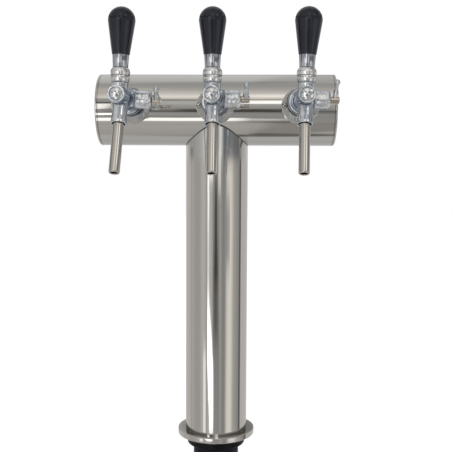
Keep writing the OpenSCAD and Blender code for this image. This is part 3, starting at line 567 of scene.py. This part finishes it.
def bossGrid(middle):
    # The oval's radius at turn t is the nearer of two circles of radius R, their centres the squeeze
    # above and below: sqrt(R^2 - (squeeze cos t)^2) - squeeze |sin t|. Rings run over the front from
    # the bore, round the edge, back to the drum's skin and over that to the bore
    q = bossSet
    t = np.linspace(0, 2 * math.pi, q["columns"], endpoint=False)
    c, n = np.cos(t), np.sin(t)
    rim = np.sqrt(q["bar"] ** 2 - (q["squeeze"] * c) ** 2) - q["squeeze"] * np.abs(n)

    def ring(radius, y):
        return np.stack([middle + radius * c, y + 0 * c, q["z"] + radius * n], -1)

    def skin(radius):
        return -np.sqrt(q["drumRadius"] ** 2 - (q["z"] + radius * n - q["drumZ"]) ** 2)

    face = [ring(q["bore"] + (rim - q["edge"] - q["bore"]) * share, q["front"])
            for share in np.linspace(0, 1, q["faceRows"])]
    edge = [ring(rim - q["edge"] * (1 - math.sin(a)), q["front"] + q["edge"] * (1 - math.cos(a)))
            for a in np.linspace(0, math.pi / 2, 6)[1:]]
    foot, top = skin(rim), q["front"] + q["edge"]
    wall = [ring(rim, top + (foot - top) * share) for share in (0.3, 0.6, 0.8, 0.9, 0.95, 1.0)]
    back = [ring(q["bore"], skin(q["bore"])), ring(q["bore"], q["front"])]
    grid = np.stack(face + edge + wall + back)
    x, y, z = grid[..., 0] - middle, grid[..., 1], grid[..., 2]
    # Painted shade: a dark ring round the collar and round each screw on the front face, and a dark line
    # where the boss meets the drum
    collar = np.exp(-((np.hypot(x, z - tapRow["height"]) - shankSet["collar"]) / q["collarShade"]) ** 2)
    screw = np.hypot(np.abs(x) - screwSet["x"], z - q["z"]) - screwSet["radius"]
    screw = np.exp(-(np.maximum(screw, 0) / q["screwShade"]) ** 2)
    onFace = y < q["front"] + 0.2
    joint = np.exp(-((foot - y) / q["jointShade"]) ** 2) * ~onFace
    return grid, np.maximum(np.maximum(collar, screw) * onFace, joint)


def screwGrids(middle, way, turn):
    # The head is cut into lines along its slot: at u across and share s along, v = s sqrt(R^2 - u^2).
    # Its height is the rim's plus the rest times sqrt(1 - (r / R)^2), and less over the slot
    q = screwSet
    r, w = q["radius"], q["slot"]
    u = r * np.sin(np.linspace(-math.pi / 2, math.pi / 2, 21))
    left, right = u[u < -w - 0.1], u[u > w + 0.1]
    u = np.concatenate([left, [-w, -w, -0.1, 0.1, w, w], right])
    cut = np.zeros(len(u), bool)
    cut[len(left) + 1:len(left) + 5] = True
    s = np.sin(np.linspace(-math.pi / 2, math.pi / 2, 19))
    v = s[None] * np.sqrt(np.maximum(r * r - u * u, 0))[:, None]
    far = np.minimum(np.hypot(u[:, None], v) / r, 1)
    h = q["rim"] + (q["height"] - q["rim"]) * np.sqrt(1 - far ** 2) ** 0.7
    h = np.where(cut[:, None], q["floor"], h)
    top = np.stack([u[:, None] + 0 * v, v, h], -1)
    head = np.concatenate([top, (top * [1, 1, 0])[:, ::-1]], 1)
    # Painted shade down in the slot
    shade = np.concatenate([np.where(cut[:, None], 1.0, 0 * v), np.zeros(v.shape)], 1)
    stem = revolve(np.array([[0, 0.2], [q["shank"], 0.2], [q["shank"], -q["length"]], [0, -q["length"]]]), 24)
    a = math.radians(turn)
    grids = []
    for grid in (head, stem):
        x, z, y = np.moveaxis(grid, -1, 0)
        grids.append(np.stack([middle + way * q["x"] + x * math.cos(a) - z * math.sin(a),
                               bossSet["front"] - 0.05 - y,
                               bossSet["z"] + x * math.sin(a) + z * math.cos(a)], -1))
    return grids, [shade, np.zeros(stem.shape[:2])]


# Each piece's painted shade values go with its grids
grids, seams = zip(*[bossGrid(sides[side] * tapRow["pitch"]) for side in sides])
gridPiece("boss_skins", list(grids), "drumSteel", "tower", ["tap_bosses"], seam=list(seams))
grids, seams = [], []
for number, turn in enumerate(screwSet["turns"]):
    made = screwGrids((number // 2 - 1) * tapRow["pitch"], number % 2 * 2 - 1, turn)
    grids += made[0]
    seams += made[1]
gridPiece("screw_skins", grids, "screwSteel", "tower", ["boss_screws"], seam=seams)
for side in sides:
    line = shankLine()
    place = np.array([sides[side] * tapRow["pitch"], -tapRow["reach"], tapRow["height"]])
    gridPiece(f"shank_skin_{side}", alongY(revolve(line)) + place, "chrome", "tower",
              [f"shank_{side}"], seam=paintedShadeNear(line, *shankSet["seams"]))
print("bosses made")


# Cast pieces

castings = {
    "body": {"node": "tap_body", "cell": 0.5, "rounds": 6, "finish": "chrome", "depth": 0.42},
    "lever": {"node": "flow_lever", "cell": 0.22, "rounds": 5, "finish": "leverChrome", "depth": 0.25},
    # The bare root of the side arm lies in the shade of the gland cap
    "armRoot": 10.6, "armShade": 1.5, "armFrom": 24, "armReach": 12}


def castSkin(name, side, node, cell, rounds, finish, depth):
    # A cast skin over a solid: the solid is cut into small cells and smoothed, which rounds its corners;
    # the painted shade value is how far the skin lies below its own blurred form, in shares of the depth
    source = nodes[f"{node}_{side}"]
    bm = bmesh.new()
    bm.from_mesh(source.data)
    bmesh.ops.remove_doubles(bm, verts=bm.verts, dist=1e-6)
    bare = bpy.data.meshes.new(name + "_bare")
    bm.to_mesh(bare)
    bm.free()
    holder = bpy.data.objects.new(name + "_bare", bare)
    holder.matrix_world = source.matrix_world
    bpy.context.scene.collection.objects.link(holder)
    cells = holder.modifiers.new("cells", "REMESH")
    cells.mode = "VOXEL"
    cells.voxel_size = cell * mm
    soft = holder.modifiers.new("soft", "SMOOTH")
    soft.factor = 0.5
    soft.iterations = rounds
    seen = holder.evaluated_get(bpy.context.evaluated_depsgraph_get())
    mesh = bpy.data.meshes.new_from_object(seen)
    mesh.transform(source.matrix_world)
    mesh.name = name
    bpy.data.objects.remove(holder)
    bpy.data.meshes.remove(bare)
    mesh.materials.clear()
    count = len(mesh.vertices)
    place, normal = np.empty(count * 3, np.float32), np.empty(count * 3, np.float32)
    mesh.vertices.foreach_get("co", place)
    mesh.vertices.foreach_get("normal", normal)
    edges = np.empty(len(mesh.edges) * 2, np.int32)
    mesh.edges.foreach_get("vertices", edges)
    place, normal, edges = place.reshape(-1, 3) / mm, normal.reshape(-1, 3), edges.reshape(-1, 2)
    ends, others = np.concatenate([edges[:, 0], edges[:, 1]]), np.concatenate([edges[:, 1], edges[:, 0]])
    degree = np.bincount(ends, minlength=count)[:, None] + 1e-9

    def blur(values, times):
        # Each point moves halfway to the mean of its neighbours
        for _ in range(times):
            near = [np.bincount(ends, values[others, k], count) for k in range(values.shape[1])]
            values = (values + np.stack(near, 1) / degree) / 2
        return values

    sunk = ((blur(place.astype(float), 30) - place) * normal).sum(1, keepdims=True)
    share = np.clip(blur(sunk, 3)[:, 0] / depth, 0, 1)
    body = f"flow_{side}"
    if node == "tap_body":
        body = "tower"
        across, back, up = np.moveaxis(fromTap(place, side), -1, 0)
        onArm = (back > castings["armFrom"]) * (np.abs(up) < castings["armReach"])
        root = np.exp(-((across - castings["armRoot"]) / castings["armShade"]) ** 2)
        share = np.maximum(share, 0.9 * root * onArm)
    addAttribute(mesh, share)
    return settle(name, mesh, finish, body, [f"{node}_{side}"], 180.0)


for side in sides:
    for kind in ("body", "lever"):
        castSkin(f"{kind}_skin_{side}", side, **castings[kind])
print("cast pieces made")


# Tower seams and ends

shell = {"drumRadius": 43.0, "drumZ": 402.7, "columnRadius": 38.0, "drumHalf": 139.5, "seamGap": 0.1,
         "capRise": 3.4, "capRound": 2.4, "capWall": 1.6, "capLip": 7.0, "lipRadius": 41.4,
         "weldLeg": 0.75, "seams": ([[43, 0]], 0.4)}


def archWeld(columns=240):
    # Round the column at turn a the drum's skin is at height drumZ - sqrt(R^2 - (r sin a)^2). The
    # weld's section there is a small triangle with a hollow face: one corner on the column below the
    # curve, one on the drum outside it, and one on the curve itself
    q = shell
    leg = q["weldLeg"]
    a = np.linspace(0, 2 * math.pi, columns, endpoint=False)
    out = np.stack([np.cos(a), np.sin(a), 0 * a], -1)

    def skin(r):
        return q["drumZ"] - np.sqrt(q["drumRadius"] ** 2 - (r * np.sin(a)) ** 2)

    r = q["columnRadius"]
    root, rim = skin(r), skin(r + leg)
    corners = [(r - 0.2, root + 0.1), (r, root - leg), (r + 0.2 * leg, root - 0.5 * leg),
               (r + 0.5 * leg, (root + rim) / 2 - 0.2 * leg), (r + leg, rim), (r + 0.3 * leg, rim + 0.15),
               (r - 0.2, root + 0.1)]
    return np.stack([out * radius + np.stack([0 * a, 0 * a, z], -1) for radius, z in corners])


# The weld's near-black tint is painted shade: the dark line where the column meets the drum
gridPiece("arch_weld", archWeld(), "paintedShadeWeld", "tower", sharp=60)


def endCapLine():
    # Height is outwards from the drum's end: from the axis inside, out over the wall and lip, past the
    # seam to the rounded rim, and in over the flat face
    q = shell
    r, lip, up, wall = q["drumRadius"], q["lipRadius"], q["capRise"], q["capWall"]
    return roundedLine([[0, up - wall], [lip - wall, up - wall], [lip - wall, -q["capLip"]],
                        [lip, -q["capLip"]], [lip, 0], [r, 0], [r, up], [0, up]],
                       [0.8, 0, 0.2, 0, 0.12, q["capRound"]], 10)


base = {"radius": 47.5, "top": 6.6, "round": 0.7, "bore": 26.05, "column": 38.05, "weld": 0.2,
        "seams": ([[38.1, 6.7]], 0.3)}


def flangeLine():
    # Flat below and on top, with a round rim, up to the column's foot and down inside it to the stub
    q = base
    return roundedLine([[q["bore"], 0], [q["radius"], 0], [q["radius"], q["top"]],
                        [q["column"] + q["weld"], q["top"]], [q["column"], q["top"] + q["weld"]],
                        [q["column"], q["top"]], [q["bore"], q["top"]], [q["bore"], 0]],
                       [q["round"], q["round"], 0, 0, 0, 0], 9)


# Painted shade round the column's foot on the flange
line = flangeLine()
gridPiece("flange_skin", revolve(line, 240), "flangeSteel", "tower", ["base_flange"],
          seam=0.6 * paintedShadeNear(line, *base["seams"]))
# Painted shade along each cap's seam with the drum
line = endCapLine()
points = alongX(revolve(line, 200)) + np.array([shell["drumHalf"] + shell["seamGap"], 0, shell["drumZ"]])
for way, side in ((-1, "left"), (1, "right")):
    gridPiece(f"cap_end_{side}", points * [way, 1, 1], "capSteel", "tower", [f"end_cap_{side}"],
              seam=0.7 * paintedShadeNear(line, *shell["seams"]))
print("seams and ends made")


# Clamp thread

thread = {"outer": 28.1, "depth": 1.05, "pitch": 2.0, "inner": 23.95, "low": -78.0, "top": 0.0,
          "spigot": 25.95, "spigotTop": 6.1, "plain": 2.2}


def threadPoints(columns=120):
    # The radius at height z and turn a is the outer one less the depth times a rounded triangle wave
    # of z / pitch + a / full turn; the depth fades to 0 over the last turns and at the top
    q = thread
    z = np.arange(q["low"] + 1.0, q["top"] - q["plain"], q["pitch"] / 8)[:, None]
    a = np.linspace(0, 2 * math.pi, columns, endpoint=False)[None]
    wave = np.abs(((z / q["pitch"] + a / (2 * math.pi)) % 1) * 2 - 1)
    wave = np.clip(wave * 1.35 - 0.15, 0, 1)
    fade = np.clip((z - q["low"] - 1.0) / 1.5, 0, 1) * np.clip((q["top"] - q["plain"] - z) / 1.5, 0, 1)
    r = q["outer"] - q["depth"] * wave * fade
    wall = np.stack([r * np.cos(a), r * np.sin(a), z + 0 * a], -1)
    foot = revolve(np.array([[q["inner"], q["low"]], [q["outer"] - 1.0, q["low"]]]), columns)
    head = revolve(np.array([[q["outer"], q["top"]], [q["spigot"], q["top"]], [q["spigot"], q["spigotTop"]],
                             [q["inner"], q["spigotTop"]], [q["inner"], q["low"]]]), columns)
    # Painted shade in the thread's grooves, darkest where they are deepest
    seam = np.concatenate([np.zeros((2, columns)), wave * fade * 0.8, np.zeros((5, columns))])
    return np.concatenate([foot, wall, head]), seam


points, seam = threadPoints()
gridPiece("thread_skin", points, "threadBlack", "tower", ["clamp_stub"])


# Stage, light and camera

def studioWorld():
    # A pale room with a few soft panels, worked out from the direction alone
    world = bpy.data.worlds.new("studio")
    bpy.context.scene.world = world
    world.use_nodes = True
    t = world.node_tree
    t.nodes.clear()
    way = make(t, "ShaderNodeTexCoord", out="Generated")
    parts = make(t, "ShaderNodeSeparateXYZ", None, {0: way})
    x, y, z = (Wire(t, parts.socket.node.outputs[i]) for i in range(3))
    degree = 180 / math.pi
    azimuth = make(t, "ShaderNodeMath", {"operation": "ARCTAN2"}, {0: x, 1: -1 * y}) * degree
    level = make(t, "ShaderNodeMath", {"operation": "ARCSINE"}, {0: z}) * degree

    def ramp(value, low, high, stops):
        # Stops are (degrees, brightness, warmth); brightness is halved to stay in the ramp's range
        cells = [((d - low) / (high - low), (b / 2, b / 2 * (1 - 0.45 * w), b / 2 * (1 - w)))
                 for d, b, w in stops]
        return make(t, "ShaderNodeValToRGB", {"stops": cells}, {0: (value - low) / (high - low)})

    around = ramp(azimuth, -180, 180, [
        (-180, 0.60, 0.03), (-110, 0.56, 0.06), (-105, 0.42, 0.10), (-99, 0.54, 0.05),
        (-90, 0.47, 0.03), (-75, 0.42, 0.02), (-64, 0.44, 0.03), (-50, 0.58, 0.06), (-40, 0.56, 0.04),
        (-36, 0.42, 0.03), (-24, 0.60, 0.02), (-19, 0.55, 0.02), (-13, 0.46, 0.02), (-9.5, 0.30, 0.0),
        (-6.5, 0.12, 0.0), (-2, 0.10, 0.10),
        (3, 0.12, 0.08), (8, 0.38, 0.05), (16, 0.44, 0.05), (25, 0.29, 0.02), (33, 0.33, 0.04),
        (41, 0.78, 0.08), (50, 0.92, 0.10), (57, 0.86, 0.10), (68, 0.48, 0.05), (88, 0.35, 0.05),
        (93, 0.33, 0.03), (96, 0.12, 0.0), (101, 0.11, 0.0), (106, 0.58, 0.05), (180, 0.60, 0.03)])
    front = ramp(level, -90, 90, [
        (-90, 0.41, 0.06), (-80, 0.44, 0.06), (-68, 0.47, 0.06), (-56, 0.49, 0.06), (-46, 0.46, 0.04),
        (-41, 0.56, 0.04), (-38, 0.36, 0.02), (-28, 0.34, 0.02), (-18, 0.29, 0.02), (-14, 0.24, 0.0),
        (-12, 0.11, 0.02), (-8, 0.12, 0.10), (-5, 0.26, 0.05), (0, 0.35, 0.04), (10, 0.43, 0.04),
        (15, 0.52, 0.05), (23, 0.60, 0.0), (25, 0.38, 0.02), (30, 0.34, 0.08), (32, 0.62, 0.08),
        (35, 0.88, 0.10), (40, 1.03, 0.09), (46, 0.88, 0.08), (52, 0.78, 0.08), (60, 0.59, 0.07),
        (68, 0.49, 0.06), (76, 0.43, 0.02), (84, 0.40, 0.02), (90, 0.41, 0.02)])
    back = ramp(level, -90, 90, [
        (-90, 0.36, 0.05), (-84, 0.38, 0.05), (-79, 0.50, 0.03), (-70, 0.53, 0.01), (-56, 0.48, 0.0),
        (-30, 0.50, 0.0), (0, 0.58, 0.02), (9, 0.44, 0.04), (24, 0.42, 0.06), (32, 0.68, 0.0),
        (60, 0.66, 0.0), (73, 0.62, 0.01), (79, 0.53, 0.02), (83, 0.43, 0.02), (90, 0.41, 0.02)])
    wide = azimuth.absolute()
    high = mixColour(t, wide.step(80, 100), front, back)
    near = level.step(-30, -21) * (1 - level.step(5, 9)) * wide.step(6, 13)
    room = mixColour(t, near, high, around)
    # Just above the level of the eye
    above = ramp(azimuth, -180, 180, [
        (-180, 0.60, 0.02), (-140, 0.66, 0.02), (-122, 0.50, 0.02), (-104, 0.27, 0.0), (-88, 0.42, 0.0),
        (-70, 0.47, 0.02), (-53, 0.56, 0.02), (-46, 0.70, 0.0), (-40, 1.05, 0.0), (-34, 0.75, 0.0),
        (-26, 0.62, 0.02), (-16, 0.38, 0.02), (-6, 0.40, 0.0), (4, 0.52, 0.0), (10, 0.86, 0.02),
        (16, 0.88, 0.02), (22, 0.50, 0.0), (27, 0.17, -0.25), (40, 0.17, -0.25), (55, 0.22, -0.15),
        (70, 0.19, -0.1), (88, 0.17, 0.0), (100, 0.36, 0.0), (112, 0.50, 0.02), (140, 0.62, 0.02),
        (180, 0.60, 0.02)])
    room = mixColour(t, level.step(0.5, 1.2) * (1 - level.step(6, 8)) * wide.step(6, 13), room, above)

    def panel(left, right, low, top, soft):
        # 1 inside a box of directions, falling to 0 over its soft rim
        a = azimuth.step(left - soft, left + soft) * (1 - azimuth.step(right - soft, right + soft))
        return a * level.step(low - soft, low + soft) * (1 - level.step(top - soft, top + soft))

    # High up, the pale band is narrow: its sides are darker, most of all on the right
    flanks = ramp(azimuth, -180, 180, [
        (-180, 0.60, 0.03), (-120, 0.42, 0.03), (-95, 0.38, 0.03), (-70, 0.50, 0.05), (-40, 0.56, 0.06),
        (-16, 0.60, 0.08), (16, 0.55, 0.08), (40, 0.50, 0.06), (62, 0.36, 0.05), (88, 0.22, 0.02),
        (112, 0.25, 0.02), (150, 0.50, 0.02), (180, 0.60, 0.03)])
    lofty = wide.step(11, 18) * (1 - wide.step(130, 150)) * level.step(27, 32) * (1 - level.step(60, 72))
    room = mixColour(t, lofty, room, flanks)

    # A white opening low on the left: a narrow strip that widens into a wedge below
    leftEdge = -31.5 + (level * -1).step(14, 20) * 8.5
    rightEdge = -25.5 + (level * -1).step(9, 15.5) * 16.8
    wedge = (azimuth - leftEdge).step(-1, 1) * (1 - (azimuth - rightEdge).step(-1, 1)) \
        * (1 - (level + 7.2).absolute().step(12, 12.8))
    glow = wedge * (0.9 - (level * -1).step(2, 6) * 0.45 + (level * -1).step(8, 11) * 1.0)
    # Bright panels, then dark ones: left, right, low and top in degrees, softness and strength
    for *box, strength in [
            (-47.5, -37, -22, -13.5, 1, 0.5), (-22, -0.5, -38.5, -28.5, 1, 1.15),
            (-0.7, 9, 16.5, 28, 1, 0.95), (-0.5, 3.5, -37, -31, 1, 0.35), (-0.5, 5.5, 40, 49, 1.5, 0.2),
            (43, 57, 30, 40, 1, 1.2), (-24, -10.6, -0.5, 15, 0.6, 1.0), (-30, -23, 17.8, 22.5, 1, 2.2),
            (7, 16, -1.5, 1.2, 1, 0.45), (-9, 9, -22, -8.5, 1.5, 0.09)]:
        glow = glow + panel(*box) * strength
    shade = 0
    for *box, strength in [
            (-5.2, 3.4, -12.5, -0.5, 1, 0.72), (2.5, 22, -86, -39, 2, 0.35),
            (-162, -32, 16.8, 22.8, 1.2, 0.76), (-23, -8.6, 17.5, 22.5, 1, 0.86),
            (9, 162, 16.8, 22.8, 1.2, 0.79), (165, 200, 16.8, 22.8, 1.2, 0.4), (-4, 14, -21, -11, 1, 0.18),
            (36, 51, -7.5, -2, 1.5, 0.42), (2, 177, -95, -82.5, 2, 0.6), (-0.5, 5, -45.5, -38, 1, 0.35),
            (150, 176.5, 20, 88, 3, 0.2)]:
        shade = panel(*box) * strength + shade
    room = mixColour(t, shade, room, (0.01, 0.008, 0.006, 1))
    lit = make(t, "ShaderNodeMix", {"data_type": "RGBA", "blend_type": "ADD"},
               {0: 1.0, 6: room, 7: mixColour(t, glow / 4, (0, 0, 0, 1), (2, 1.98, 1.94, 1))}, out=2)
    seen = make(t, "ShaderNodeLightPath", out="Is Camera Ray")
    plain = make(t, "ShaderNodeBackground", None, {"Color": (1, 1, 1, 1), "Strength": 1.0})
    studio = make(t, "ShaderNodeBackground", None, {"Color": lit, "Strength": 2.0})
    both = make(t, "ShaderNodeMixShader", None, {0: seen, 1: studio, 2: plain})
    out = t.nodes.new("ShaderNodeOutputWorld")
    t.links.new(both.socket, out.inputs["Surface"])


studioWorld()


def paleFloor():
    # A wide square sheet just under the lines' ends, with a very soft shadow
    half, z = 6.0, cadLow.z - 0.002
    mesh = bpy.data.meshes.new("floor")
    mesh.from_pydata([(-half, -half, z), (half, -half, z), (half, half, z), (-half, half, z)], [],
                     [(0, 1, 2, 3)])
    floor = bpy.data.objects.new("floor", mesh)
    bpy.context.scene.collection.objects.link(floor)
    m, t = emptyMaterial("floorPale")
    cloud = noise(t, 1.5, 2.0)
    tone = mixColour(t, cloud, (0.90, 0.90, 0.90, 1), (0.93, 0.93, 0.93, 1))
    finishMaterial(t, make(t, "ShaderNodeBsdfPrincipled", None,
                           {"Base Color": tone, "Roughness": 0.9, "Emission Color": (1, 1, 1, 1),
                            "Emission Strength": 0.62}))
    mesh.materials.append(m)
    floor.visible_glossy = False


paleFloor()

view = {"lens": 59.66, "pitch": 4.209, "yaw": 1.542, "roll": 0.256, "place": (36.5, -927.5, 328.6)}


def addCamera():
    # Looks ahead by its yaw from +Y and down by its pitch, and rolls about that line
    pitch, yaw, roll = (math.radians(view[k]) for k in ("pitch", "yaw", "roll"))
    ahead = np.array([-math.sin(yaw) * math.cos(pitch), math.cos(yaw) * math.cos(pitch), -math.sin(pitch)])
    right = np.array([math.cos(yaw), math.sin(yaw), 0])
    up = np.cross(right, ahead)
    right, up = math.cos(roll) * right + math.sin(roll) * up, math.cos(roll) * up - math.sin(roll) * right
    place = np.array(view["place"]) * mm
    data = bpy.data.cameras.new("camera")
    data.sensor_width = 36
    data.lens = view["lens"]
    camera = bpy.data.objects.new("camera", data)
    rows = np.column_stack([right, up, -ahead, place]).tolist()
    camera.matrix_world = Matrix(rows + [[0, 0, 0, 1]])
    bpy.context.scene.collection.objects.link(camera)
    bpy.context.scene.camera = camera


addCamera()
bpy.context.scene.view_settings.view_transform = "Standard"
print("studio made")
